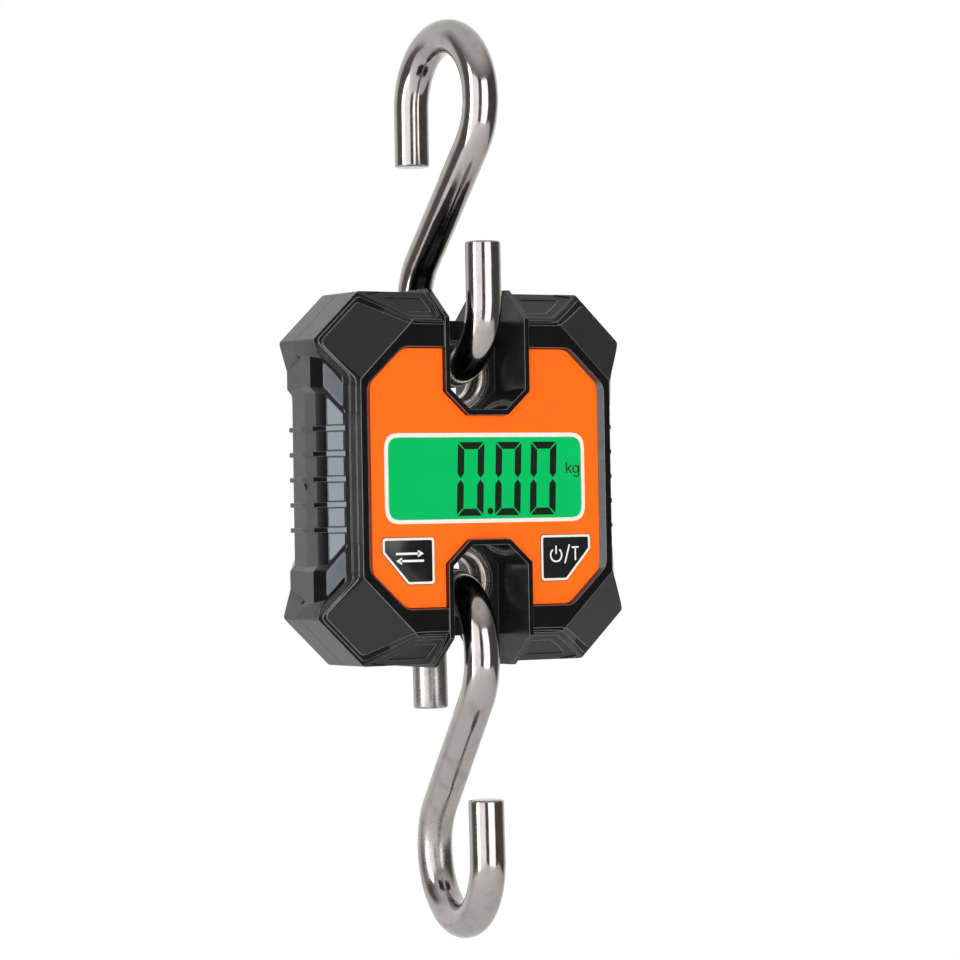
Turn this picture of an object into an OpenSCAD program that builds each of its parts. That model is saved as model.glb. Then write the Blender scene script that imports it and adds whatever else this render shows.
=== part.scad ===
// Hanging digital fish scale: a plastic body round a steel load cell, with an S-hook through each eye.
// The load line is the Z axis, the display faces -Y, and the origin is the centre of the load cell.

/* [Body] */
// Height of the plastic body
body_h = 104; // [100:0.5:108]
// Widest width of the plastic body, at its corners
body_w = 100.4; // [98:0.2:104]
// Distance from the load line to the front rim of the body
front_depth = 20.4; // [20:0.1:22]
// Distance from the load line to the flat back of the body
back_depth = 16.8; // [16.6:0.1:18]
// Wall thickness of the two shells
wall = 1.6; // [1.4:0.1:1.8]
// Number of grip ribs on each side
rib_count = 5; // [3:2:5]

/* [Notches] */
// Clear width of the notch that a hook sits in
notch_w = 24.4; // [23:0.2:25]
// Height of the notch floor above the centre
notch_floor = 18.9; // [18.5:0.1:19.5]
// Thickness of the glossy wall round the notch
notch_wall = 1.5; // [1.2:0.1:1.6]
// Height of the web that covers the end of the load cell
web_top = 44.5; // [44:0.1:45.5]

/* [Hooks] */
// Diameter of the hook rod
rod_d = 10; // [9:0.2:10.4]
// Radius of a hook's loops, to the centre of the rod
loop_r = 19.15; // [18.5:0.05:19.5]
// Distance between the centres of a hook's two loops
loop_gap = 56.6; // [54:0.1:60]
// Straight length at each end of a hook
tip_len = 16.3; // [8:0.1:18]
// Turn of the lower hook about the load line at rest
lower_turn = 8; // [0:1:8]
// Sideways lean of the lower hook at rest
lower_lean = 0.75; // [0:0.25:0.75]

/* [Load cell] */
// Radius of the hole through each eye
eye_r = 6.7; // [6.4:0.1:6.8]
// Thickness of the load cell plate
cell_t = 7; // [6:0.5:7]
// Width of the load cell plate
cell_w = 27.6; // [26:0.2:28]
// Clearance between a hook and the eye it bears on
eye_gap = 0.2; // [0.1:0.05:0.4]

/* [Display and keys] */
// Visible width of the display
window_w = 63.2; // [56:0.2:63.6]
// Visible height of the display
window_h = 22.8; // [18:0.2:23.2]
// Travel of a key
key_travel = 0.4; // [0.3:0.1:0.6]

/* [Batteries] */
// Diameter of one cell
battery_d = 10.5; // [10.5:0.1:10.5]
// Length of one cell
battery_l = 44.5; // [44:0.1:44.5]

/* [Hidden] */
$fn = 64;
eps = 0.01;

// Depths, front to back
face_y = -front_depth;            // front of the rim round the label
label_y = face_y + 1.2;           // face of the printed label
overlay_t = 0.4;                  // thickness of the label
panel_y = label_y + overlay_t;    // shell face behind the label
inner_front = panel_y + wall;     // inside of the front wall
rim_y = face_y + 4.5;             // back of the stepped rim
bevel_y = face_y + 9.5;           // where the front bevel meets the side wall
crease_y = face_y + 13.9;         // crease along the side wall
side_y = back_depth - 8;          // where the side wall meets the rear bevel
inner_back = back_depth - wall;   // inside of the back wall

// Outline of the body: one quarter, from the top edge round the corner and down the waist
top_z = body_h / 2;
side_x = body_w / 2;
corner_x = side_x - 14.3;
corner_z = top_z - 13.6;
face_q = [[23.3, top_z - 8], [40.7, 27.2], [40.7, 26], [40.7, 25], [40.7, 18], [40.7, 17]];
rim_q = [[29.2, top_z - 4.2], [45.2, 32.5], [44, 28.2], [43.6, 26], [43.6, 19], [43.3, 18]];
bevel_q = [[corner_x, top_z], [side_x, corner_z], [side_x - 1, 35.2], [side_x - 2.9, 33],
  [side_x - 2.9, 25.2], [side_x - 3.8, 23.4]];
crease_q = [[corner_x, top_z], [side_x, corner_z], [side_x - 0.6, 35], [side_x - 1.4, 33.8],
  [side_x - 1.4, 25.4], [side_x - 2.95, 23.9]];
seam_q = [[corner_x, top_z], [side_x, corner_z], [side_x - 0.6, 34.8], [side_x - 1.9, 34],
  [side_x - 1.9, 25.6], [side_x - 3.1, 24.2]];
rear_q = [[corner_x, top_z], [side_x, corner_z], [side_x - 1.6, 33], [side_x - 2.4, 30.5],
  [side_x - 2.4, 25.4], [side_x - 4, 23.6]];
back_q = [[29.5, top_z - 7], [42.5, 32.6], [42.3, 30], [42.1, 28], [42.1, 24], [41.9, 22]];
hollow_front_q = [[24, top_z - 7.8], [40.2, 28], [39.6, 24]];
hollow_q = [[corner_x - 1.1, top_z - 1.8], [side_x - 1.8, corner_z - 1], [side_x - 5.2, 31]];
hollow_back_q = [[29, top_z - 8.6], [40.6, 32], [40, 28]];

// Label outline and the openings in it
label_w = 74.6;
label_h = 72;
label_cx = 10.6;
label_cz = 9.8;
label_bevel = 1.2;
window_x = -0.2;
window_z = -0.2;
stack_z = -0.5;    // height of the display stack behind the window
key_in = 17.5;     // inner upright edge of a key
key_out = 34;      // outer upright edge
key_top = -16.5;
key_side = -20.6;  // where the outer edge turns into the diagonal
key_foot = 26;     // where the diagonal meets the lower edge
key_low = -29.4;
key_gap = 0.2;

// Notch: half widths and floor chamfers
notch_x = notch_w / 2;
notch_cx = 6.3;
notch_cz = 5.7;
web_y = 4.6;       // half thickness of the web over the load cell
web_skin = 1;
web_lid = 1.5;
web_hole_r = 10.2;
lip_rise = 1;      // how far the notch wall stands above the bevels

// Load cell and eyes
eye_z = notch_floor + 10.15;
bush_r = 9;
bush_y = cell_t / 2 + 0.3;
loop_near = eye_z + eye_r - eye_gap + loop_r - rod_d / 2;   // loop that runs through the eye
rod_r = rod_d / 2;
shaft_angle = asin(2 * loop_r / loop_gap);                  // lean of the middle of a hook
cell_end_r = cell_w / 2;

// Board, display stack and switches
board_y = -10.6;
board_t = 1.6;
board_x = 40;
board_top = 14;
board_low = -31;
glass_y = inner_front + 0.1;
glass_t = 2.2;
light_t = 2.6;
light_y = glass_y + glass_t + 0.1;
switch_x = 25.9;
switch_z = -23;
switch_h = 3.8;
board_screw_x = 38;
board_screw_z = [9, -12];

// Battery bay
tray_wall = 0.9;
tray_y = cell_t / 2 + 0.4;
tray_x = 28;
tray_z = 17.1;
battery_pitch = battery_d + 0.15;
battery_y = tray_y + tray_wall + 0.05 + battery_d / 2;
cover_t = 1.4;
cover_x = 28.6;
cover_z = 16.3;
cover_gap = 0.3;

// Fasteners
screw_x = 37;
screw_z = 36;
screw_r = 1.3;
boss_r = 3.4;

// Routes of the wires inside the body
cell_cable_path = [[15.2, -1, 0], [17, -2, 0], [20, -4, 1], [23, -5.4, 2], [26, -6.6, 3], [28, -7.3, 3.5],
  [30, -7.7, 4]];
red_path = [[28.6, 12, 10], [31, 11.5, 10], [33, 9, 10], [33.5, 5, 9.5], [33.5, 0, 9], [33, -4, 8.5],
  [32, -7, 8], [31, -8.4, 8]];
black_path = [[28.6, 12, -10], [31, 11.5, -10], [33, 9, -10], [33.5, 5, -9.5], [33.5, 0, -9],
  [33, -4, -8.5], [32, -7, -8], [31, -8.4, -8]];

// Whole outline from one quarter, clockwise seen from the front
function whole(q) = let (n = len(q)) concat(
  q,
  [for (i = [n - 1:-1:0]) [q[i].x, -q[i].y]],
  [for (p = q) [-p.x, -p.y]],
  [for (i = [n - 1:-1:0]) [-q[i].x, q[i].y]]);

// Solid through a list of [depth, outline] sections, ordered front to back
module loft(sections) {
  n = len(sections[0][1]);
  last = len(sections) - 1;
  points = [for (s = sections) for (p = s[1]) [p.x, s[0], p.y]];
  sides = [for (s = [0:last - 1]) for (i = [0:n - 1])
    [s * n + i, (s + 1) * n + i, (s + 1) * n + (i + 1) % n, s * n + (i + 1) % n]];
  caps = [[for (i = [0:n - 1]) i], [for (i = [n - 1:-1:0]) last * n + i]];
  polyhedron(points, concat(sides, caps), convexity = 4);
}

// Prism of an x-z outline between two depths
module plate(y0, y1) {
  translate([0, y1, 0]) rotate([90, 0, 0]) linear_extrude(y1 - y0) children();
}

// Cylinder along Y between two depths
module pin_y(x, z, r, y0, y1) {
  translate([x, y0, z]) rotate([-90, 0, 0]) cylinder(h = y1 - y0, r = r);
}

// Child and its mirror image below the centre, or left of it
module both_ends() {
  children();
  mirror([0, 0, 1]) children();
}
module both_sides() {
  children();
  mirror([1, 0, 0]) children();
}

module octagon(w, h, cx, cz) {
  polygon(whole([[w / 2 - cx, h / 2], [w / 2, h / 2 - cz]]));
}

// Notch outline, open at the top, grown outwards by g
module notch_outline(g) {
  c = g * 0.42;
  polygon([[-notch_x - g, top_z + 8], [-notch_x - g, notch_floor + notch_cz - c],
    [-notch_x + notch_cx - c, notch_floor - g], [notch_x - notch_cx + c, notch_floor - g],
    [notch_x + g, notch_floor + notch_cz - c], [notch_x + g, top_z + 8]]);
}

module key_outline(g) {
  polygon([[key_in - g, key_top + g], [key_out + g, key_top + g], [key_out + g, key_side - g * 0.4],
    [key_foot + g * 0.4, key_low - g], [key_in - g, key_low - g]]);
}

module window_outline(g) {
  translate([window_x, window_z]) hull() both_sides() mirror_z()
    translate([window_w / 2 + g - 3, window_h / 2 + g - 3]) circle(3, $fn = 32);
}
module mirror_z() {
  children();
  mirror([0, 1, 0]) children();
}

// Grip ribs: each follows the side of one shell, given as [x, y] points
module ribs(profile) {
  pitch = 7;
  for (i = [0:rib_count - 1]) both_sides()
    translate([0, 0, (i - (rib_count - 1) / 2) * pitch - 0.65]) linear_extrude(1.3) polygon(profile);
}

// Walls that line a notch, from the rim back to the web
module notch_walls(y0, y1, lip) {
  both_ends() intersection() {
    union() {
      plate(min(y0, y1), max(y0, y1)) notch_outline(notch_wall);
      translate([-notch_x - notch_wall, -web_y, web_top - web_lid])
        cube([notch_w + 2 * notch_wall, 2 * web_y, 12]);
    }
    translate([-20, 0, 0]) rotate([90, 0, 90]) linear_extrude(40) polygon(lip);
  }
}

// Open space of a notch, outside the web
module notch_space(y0, y1) {
  both_ends() {
    plate(min(y0, y1), max(y0, y1)) notch_outline(0);
    translate([-notch_x, -30, web_top]) cube([notch_w, 60, 12]);
  }
}

module front_outer() {
  loft([[face_y, whole(face_q)], [rim_y, whole(rim_q)], [bevel_y, whole(bevel_q)],
    [crease_y, whole(crease_q)], [2, whole(seam_q)]]);
}

// Everything behind the seam, or in front of it
module behind_seam() {
  translate([-60, 0, -60]) cube([120, 10, 120]);
}

module front_shell() color([0.07, 0.07, 0.075]) difference() {
  union() {
    difference() {
      front_outer();
      loft([[inner_front, whole(hollow_front_q)], [bevel_y, whole(hollow_q)], [3, whole(hollow_q)]]);
    }
    notch_walls(face_y - 0.4, -web_y + web_skin,
      [[face_y - 0.4, 0], [face_y - 0.4, top_z - 7.4], [bevel_y, top_z + lip_rise], [0, top_z + lip_rise],
       [0, 0]]);
    ribs([[44.5, -12], [43.2, rim_y + 0.2], [43.65, rim_y - 0.25], [46.8, bevel_y - 0.2], [48.3, crease_y],
      [48.3, 0], [46.5, 0]]);
    for (x = [-screw_x, screw_x], z = [-screw_z, screw_z]) pin_y(x, z, boss_r, rim_y + 0.9, 0);
    for (x = [-board_screw_x, board_screw_x], z = board_screw_z)
      pin_y(x, z, 2.2, inner_front - 0.5, board_y);
  }
  notch_space(face_y - 1, -web_y);
  both_ends() pin_y(0, eye_z, web_hole_r, -web_y - 1, 1);
  // recess for the label, with its sloping edge
  difference() {
    union() {
      plate(face_y - 1, panel_y) octagon(label_w, label_h, label_cx, label_cz);
      loft([[face_y - eps, whole([[label_w / 2 - label_cx + 0.5 + label_bevel, label_h / 2 + label_bevel],
          [label_w / 2 + label_bevel, label_h / 2 - label_cz + 0.5 + label_bevel]])],
        [label_y, whole([[label_w / 2 - label_cx, label_h / 2], [label_w / 2, label_h / 2 - label_cz]])]]);
    }
    both_ends() plate(face_y - 2, 0) notch_outline(notch_wall);
  }
  plate(panel_y - 1, inner_front + 1) window_outline(0.8);
  both_sides() plate(panel_y - 1, inner_front + 1) key_outline(key_gap);
  behind_seam();
  for (x = [-screw_x, screw_x], z = [-screw_z, screw_z]) pin_y(x, z, screw_r, -9, 1);
  for (x = [-board_screw_x, board_screw_x], z = board_screw_z) pin_y(x, z, 0.9, board_y - 4.5, board_y + 1);
}

module rear_shell() color([0.07, 0.07, 0.075]) difference() {
  union() {
    difference() {
      loft([[-2, whole(seam_q)], [side_y, whole(rear_q)], [back_depth, whole(back_q)]]);
      loft([[-3, whole(hollow_q)], [side_y, whole(hollow_q)], [inner_back, whole(hollow_back_q)]]);
    }
    notch_walls(web_y - web_skin, back_depth + 0.4,
      [[0, 0], [0, top_z + lip_rise], [side_y, top_z + lip_rise], [back_depth + 0.4, top_z - 6.4],
       [back_depth + 0.4, 0]]);
    ribs([[46.5, 0], [48.3, 0], [47.4, side_y], [43.6, back_depth - 3], [42.5, back_depth - 3.6], [44, side_y]]);
    for (x = [-screw_x, screw_x], z = [-screw_z, screw_z]) pin_y(x, z, boss_r, 0, back_depth - 0.5);
  }
  notch_space(web_y, back_depth + 1);
  both_ends() pin_y(0, eye_z, web_hole_r, -1, web_y + 1);
  mirror([0, 1, 0]) behind_seam();
  // opening for the battery cover
  plate(inner_back - 1, back_depth + 1)
    square([2 * (cover_x + cover_gap), 2 * (cover_z + cover_gap)], center = true);
  for (x = [-screw_x, screw_x], z = [-screw_z, screw_z]) {
    pin_y(x, z, screw_r + 0.3, -1, back_depth + 1);
    pin_y(x, z, 2.7, 7, back_depth + 1);
  }
}

// S-hook in the load plane: far loop above, near loop through the eye
module s_hook() {
  far = loop_near + loop_gap;
  sweep = 180 + shaft_angle;
  shaft_len = loop_gap * cos(shaft_angle);
  union() {
    translate([0, 0, far]) rotate([90, 0, 90])
      rotate_extrude(angle = sweep) translate([loop_r, 0]) circle(rod_r);
    translate([0, 0, loop_near]) rotate([90, 0, 90]) rotate([0, 0, 180])
      rotate_extrude(angle = sweep) translate([loop_r, 0]) circle(rod_r);
    // leaning middle: a hair thinner, and run into both loops
    translate([0, 0, (far + loop_near) / 2]) rotate([shaft_angle, 0, 0])
      cylinder(h = shaft_len + 3, r = rod_r - 0.1, center = true);
    // straight tips with broken edges
    translate([0, loop_r, far - tip_len]) hook_tip();
    translate([0, -loop_r, loop_near + tip_len]) mirror([0, 0, 1]) hook_tip();
  }
}

module hook_tip() {
  edge = 0.5;
  translate([0, 0, edge]) cylinder(h = tip_len - edge, r = rod_r);
  cylinder(h = edge, r1 = rod_r - edge, r2 = rod_r);
}

module upper_hook() color([0.75, 0.75, 0.76]) s_hook();

module lower_hook() color([0.75, 0.75, 0.76])
  translate([0, 0, -eye_z]) rotate([0, -lower_lean, 0]) translate([0, 0, eye_z])
    rotate([0, 0, -lower_turn]) rotate([180, 0, 0]) s_hook();

module face_overlay() color([1, 0.44, 0.1]) difference() {
  plate(label_y, panel_y) octagon(label_w - 0.2, label_h - 0.2, label_cx, label_cz);
  both_ends() plate(label_y - 1, panel_y + 1) notch_outline(notch_wall + 0.1);
  plate(label_y - 1, panel_y + 1) window_outline(0);
  both_sides() plate(label_y - 1, panel_y + 1) key_outline(key_gap);
}

module display_lens() color([0.7, 0.9, 0.8, 0.4]) union() {
  plate(label_y + 0.05, panel_y) window_outline(-0.05);
  plate(panel_y, inner_front - 0.2) window_outline(0.7);
}

// Key cap with the stem that reaches its switch
module key_cap() {
  plate(label_y - 0.05, inner_front - 0.6) key_outline(0);
  pin_y(switch_x, switch_z, 2.4, inner_front - 0.6, board_y - switch_h - 0.2 - key_travel);
}
module unit_key() color([0.1, 0.1, 0.1]) mirror([1, 0, 0]) key_cap();
module power_key() color([0.1, 0.1, 0.1]) key_cap();

module block(x, y0, y1, z) {
  translate([-x, y0, -z]) cube([2 * x, y1 - y0, 2 * z]);
}

module lcd_glass() color([0.1, 0.75, 0.4, 0.6])
  translate([window_x, 0, stack_z]) block(34, glass_y, glass_y + glass_t, 13.6);

module lcd_backlight() color([0.9, 0.95, 0.9])
  translate([window_x, 0, stack_z]) block(32.5, light_y, light_y + light_t, 11.4);

module lcd_frame() color([0.9, 0.9, 0.88]) translate([window_x, 0, stack_z]) difference() {
  block(35.3, glass_y, board_y - 0.02, 14.4);
  block(34.1, glass_y - 1, board_y + 1, 13.7);
}

module lcd_strips() color([0.85, 0.4, 0.5]) translate([window_x, 0, stack_z]) both_ends()
  translate([0, 0, 12.5]) block(30, glass_y + glass_t, board_y, 0.8);

module main_board() color([0.05, 0.35, 0.15]) difference() {
  plate(board_y, board_y + board_t) polygon([[-board_x, board_top], [board_x, board_top], [board_x, -20],
    [33, board_low], [14.2, board_low], [14.2, -24], [7.5, -17.1], [-7.5, -17.1], [-14.2, -24],
    [-14.2, board_low], [-33, board_low], [-board_x, -20]]);
  for (x = [-board_screw_x, board_screw_x], z = board_screw_z)
    pin_y(x, z, 1.2, board_y - 1, board_y + board_t + 1);
}

module control_chip() color([0.08, 0.08, 0.08])
  translate([-20, 0, -2]) block(6, board_y + board_t, board_y + board_t + 1.4, 6);

module tact_switch() {
  translate([switch_x, 0, switch_z]) block(3, board_y - switch_h + 1, board_y, 3);
  pin_y(switch_x, switch_z, 1.7, board_y - switch_h, board_y - switch_h + 1);
}
module unit_switch() color([0.2, 0.2, 0.2]) mirror([1, 0, 0]) tact_switch();
module power_switch() color([0.2, 0.2, 0.2]) tact_switch();

module board_screws() color([0.6, 0.6, 0.6])
  for (x = [-board_screw_x, board_screw_x], z = board_screw_z) {
    pin_y(x, z, 0.9, board_y - 4, board_y + board_t);
    pin_y(x, z, 1.9, board_y + board_t, board_y + board_t + 1.3);
  }

module load_cell() color([0.6, 0.6, 0.62]) difference() {
  plate(-cell_t / 2, cell_t / 2) hull() mirror_z() translate([0, eye_z]) circle(cell_end_r);
  both_ends() pin_y(0, eye_z, bush_r, -cell_t, cell_t);
  // opening that makes the middle of the plate bend under load
  for (x = [-5, 5]) pin_y(x, 0, 6, -cell_t, cell_t);
  block(5, -cell_t, cell_t, 1.5);
  // blind holes for the clamp screws at the upper end
  for (x = [-11, 11]) pin_y(x, 14, 1.25, 0, cell_t);
}

// Ring with a bell mouth on both faces
module eye_bush() {
  flare = bush_y - 0.8;
  edge = 0.3;
  difference() {
    pin_y(0, 0, bush_r, -bush_y, bush_y);
    pin_y(0, 0, eye_r, -bush_y - 1, bush_y + 1);
    for (s = [0, 180]) rotate([s, 0, 0]) rotate([-90, 0, 0]) rotate_extrude()
      difference() {
        translate([0, bush_y - flare]) square([bush_r - edge, flare + 1]);
        translate([eye_r + flare, bush_y - flare]) circle(flare);
      }
  }
}
module upper_eye_bush() color([0.8, 0.8, 0.78]) translate([0, 0, eye_z]) eye_bush();
module lower_eye_bush() color([0.8, 0.8, 0.78]) translate([0, 0, -eye_z]) eye_bush();

module strain_gauges() color([0.8, 0.6, 0.2]) both_sides() both_ends()
  translate([cell_end_r, -2, 0.6]) cube([0.2, 4, 5]);

module gauge_sealant() color([0.9, 0.9, 0.9]) both_sides() difference() {
  translate([cell_end_r, -3, -7]) cube([1, 6, 14]);
  both_ends() translate([cell_end_r - 1, -2, 0.6]) cube([1.2, 4, 5]);
}

// Blocks that clamp the shells to the upper end of the load cell only
module cell_blocks() color([0.15, 0.15, 0.15]) for (x = [-11, 11]) difference() {
  translate([x - 2.6, cell_t / 2, 11.2]) cube([5.2, 0.4, 5.6]);
  pin_y(x, 14, 1.4, 0, 10);
}

module cell_screws() color([0.6, 0.6, 0.6]) for (x = [-11, 11]) pin_y(x, 14, 1.25, 0.5, cell_t / 2 + 0.4);

module battery_tray() color([0.08, 0.08, 0.08]) difference() {
  block(tray_x, tray_y, inner_back - 0.1, tray_z);
  block(tray_x - 0.9, tray_y + tray_wall, inner_back + 1, tray_z - 0.9);
}

module each_battery() {
  for (i = [-1:1]) translate([0, battery_y, i * battery_pitch])
    rotate([0, i == 0 ? 180 : 0, 0]) children();
}

module batteries() color([0.8, 0.6, 0.2]) each_battery() rotate([0, 90, 0]) {
  translate([0, 0, -battery_l / 2]) cylinder(h = battery_l - 0.8, r = battery_d / 2 - 0.05);
  translate([0, 0, battery_l / 2 - 0.9]) cylinder(h = 0.9, r = 1.9);
}

// Flat-ended spring blanks on the negative side of each cell
module battery_springs() color([0.7, 0.7, 0.7]) each_battery() rotate([0, -90, 0]) {
  translate([0, 0, battery_l / 2]) cylinder(h = 4.2, r1 = 2, r2 = 4);
  translate([-4.4, -4.4, battery_l / 2 + 4.2]) cube([8.8, 8.8, 0.4]);
}

module battery_plates() color([0.7, 0.7, 0.7]) each_battery()
  translate([battery_l / 2, -4.4, -4.4]) cube([4.6, 8.8, 8.8]);

// Tube along a route, with ring_sides points in each ring
module wire(path, d) {
  ring_sides = 8;
  n = len(path);
  function unit(v) = v / norm(v);
  function heading(i) = unit(path[min(i + 1, n - 1)] - path[max(i - 1, 0)]);
  function side(i) = unit(cross(heading(i), [0, 0.13, 1]));
  ring = [for (i = [0:n - 1]) for (k = [0:ring_sides - 1])
    let (a = 360 * k / ring_sides, s = side(i), t = cross(heading(i), s))
      path[i] + d / 2 * (cos(a) * s + sin(a) * t)];
  sides = [for (i = [0:n - 2]) for (k = [0:ring_sides - 1]) let (m = (k + 1) % ring_sides)
    [i * ring_sides + k, i * ring_sides + m, (i + 1) * ring_sides + m, (i + 1) * ring_sides + k]];
  ends = [[for (k = [ring_sides - 1:-1:0]) k], [for (k = [0:ring_sides - 1]) (n - 1) * ring_sides + k]];
  polyhedron(ring, concat(sides, ends), convexity = 4);
}
module cell_cable() color([0.85, 0.85, 0.85]) wire(cell_cable_path, 2);
module battery_lead_red() color([0.8, 0.1, 0.1]) wire(red_path, 1.4);
module battery_lead_black() color([0.05, 0.05, 0.05]) wire(black_path, 1.4);

module battery_cover() color([0.07, 0.07, 0.075]) difference() {
  plate(back_depth - cover_t, back_depth) square([2 * cover_x, 2 * cover_z], center = true);
  // finger grip beside the latch
  translate([cover_x - 7, back_depth, 0]) rotate([90, 0, 0]) cylinder(h = 1.2, r = 5, center = true);
}

module shell_screws() color([0.5, 0.5, 0.5])
  for (x = [-screw_x, screw_x], z = [-screw_z, screw_z]) difference() {
    union() {
      pin_y(x, z, screw_r, -8, 7);
      pin_y(x, z, 2.5, 7, 9);
    }
    translate([x, 9, z]) for (a = [0, 90]) rotate([0, a, 0]) cube([2.8, 2, 0.7], center = true);
  }

upper_hook();
lower_hook();
front_shell();
rear_shell();
face_overlay();
display_lens();
unit_key();
power_key();
lcd_glass();
lcd_backlight();
lcd_frame();
lcd_strips();
main_board();
control_chip();
unit_switch();
power_switch();
board_screws();
load_cell();
upper_eye_bush();
lower_eye_bush();
strain_gauges();
gauge_sealant();
cell_cable();
cell_blocks();
cell_screws();
battery_tray();
batteries();
battery_springs();
battery_plates();
battery_lead_red();
battery_lead_black();
battery_cover();
shell_screws();
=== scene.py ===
"""Digital hanging fish scale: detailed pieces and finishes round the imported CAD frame.

Shapes are worked out in millimetres and scaled to metres at the end of each piece.
"""

import math

import bmesh
import bpy
from mathutils import Matrix, Vector


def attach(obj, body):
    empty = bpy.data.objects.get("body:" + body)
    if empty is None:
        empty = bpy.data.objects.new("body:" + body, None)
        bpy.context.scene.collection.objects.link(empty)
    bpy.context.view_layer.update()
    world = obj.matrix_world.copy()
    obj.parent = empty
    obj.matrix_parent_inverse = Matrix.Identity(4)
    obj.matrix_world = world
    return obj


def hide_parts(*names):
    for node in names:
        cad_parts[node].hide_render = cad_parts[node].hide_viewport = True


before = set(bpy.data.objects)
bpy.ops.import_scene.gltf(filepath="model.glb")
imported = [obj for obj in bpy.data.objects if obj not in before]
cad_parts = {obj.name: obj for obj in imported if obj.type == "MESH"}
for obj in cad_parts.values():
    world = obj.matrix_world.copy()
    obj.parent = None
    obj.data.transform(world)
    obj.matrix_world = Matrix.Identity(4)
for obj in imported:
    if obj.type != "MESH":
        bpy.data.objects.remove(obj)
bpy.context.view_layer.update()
MM = 0.001

# Depths of the body, front to back (y, mm)
FACE_Y, RIM_Y, BEVEL_Y, CREASE_Y = -20.4, -15.9, -10.9, -6.5
LABEL_Y, PANEL_Y, INNER_Y = -19.2, -18.8, -17.2
SIDE_Y, BACK_Y, INNER_BACK_Y = 8.8, 16.8, 15.2
SHELL_END_Y = -20.8

# Outline of the body, one quarter at each depth (x, z in mm)
FACE_Q = [(23.3, 44), (40.7, 27.2), (40.7, 26), (40.7, 25), (40.7, 18), (40.7, 17)]
RIM_Q = [(29.2, 47.8), (45.2, 32.5), (44, 28.2), (43.6, 26), (43.6, 19), (43.3, 18)]
BEVEL_Q = [(35.9, 52), (50.2, 38.4), (49.2, 35.2), (47.3, 33), (47.3, 25.2), (46.4, 23.4)]
CREASE_Q = [(35.9, 52), (50.2, 38.4), (49.6, 35), (48.8, 33.8), (48.8, 25.4), (47.25, 23.9)]
SEAM_Q = [(35.9, 52), (50.2, 38.4), (49.6, 34.8), (48.3, 34), (48.3, 25.6), (47.1, 24.2)]
REAR_Q = [(35.9, 52), (50.2, 38.4), (48.6, 33), (47.8, 30.5), (47.8, 25.4), (46.2, 23.6)]
BACK_Q = [(29.5, 45), (42.5, 32.6), (42.3, 30), (42.1, 28), (42.1, 24), (41.9, 22)]
HOLLOW_FRONT_Q = [(24, 44.2), (40.2, 28), (39.6, 24)]
HOLLOW_Q = [(34.8, 50.2), (48.4, 37.4), (45, 31)]
HOLLOW_BACK_Q = [(29, 43.4), (40.6, 32), (40, 28)]
CORNER_R = [1.6, 1.5, 0.8, 0.8, 0.8, 0.8]     # rounding of the six corners of each quarter

# Label, window, keys, notches and eyes (mm)
LABEL_Q = [(26.7, 36), (37.3, 26.2)]
LABEL_LIFT = 3.0     # the recess round the label widens over this height
WINDOW = (-31.8, 31.4, -11.6, 11.2)
BORDER = (-33.0, 32.5, -12.7, 12.4)
KEY = [(17.5, -16.5), (34.0, -16.5), (34.0, -20.6), (26.0, -29.4), (17.5, -29.4)]
LABEL_R = 4.2
RECESS_Q = [(27.9, 36.9), (40.9, 24.9)]       # front of the recess round the label
PRINT_UNDER, PRINT_PROUD = 0.02, 0.03         # how far print reaches into and out of its surface
NOTCH_X, NOTCH_FLOOR, NOTCH_CX, NOTCH_CZ, NOTCH_WALL = 12.2, 18.9, 6.3, 5.7, 1.5
WEB_Y, WEB_SKIN, WEB_TOP, WEB_LID, WEB_HOLE = 4.6, 1.0, 44.5, 1.5, 10.2
EYE_Z, EYE_R, BUSH_R, BUSH_Y = 29.05, 6.7, 9.0, 3.8
TOP_Z = 52.0
RIB_STEP, RIB_HALF, RIB_GAP = 7, 0.65, 1.05   # spacing and half width of the ribs, half gap in the pads

# Battery cover (mm)
LID_X, LID_Z, LID_GAP, LID_STEP, LID_THICK = 28.6, 16.3, 0.3, 1.8, 1.4
RIB_Z = [i * RIB_STEP for i in range(-2, 3)]
POSTS = [(x, z) for x in (-37, 37) for z in (-36, 36)]

# Hooks (mm)
ROD_R, LOOP_R, NEAR_Z, FAR_Z, TIP = 5.0, 19.15, 49.7, 106.3, 16.3
LOWER_TURN, LOWER_LEAN = math.radians(8), math.radians(0.75)

# Camera: where it looks, from which side, and how far off
AIM = Vector((-2.254, -19.2, -0.774)) * MM
AZIMUTH, ELEVATION, ROLL = math.radians(-31.4), math.radians(-0.523), -0.017
DISTANCE, LENS = 1.035889, 139.108


# ---------------------------------------------------------------- node materials

def socket(node, name):
    return node.inputs[name]


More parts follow.
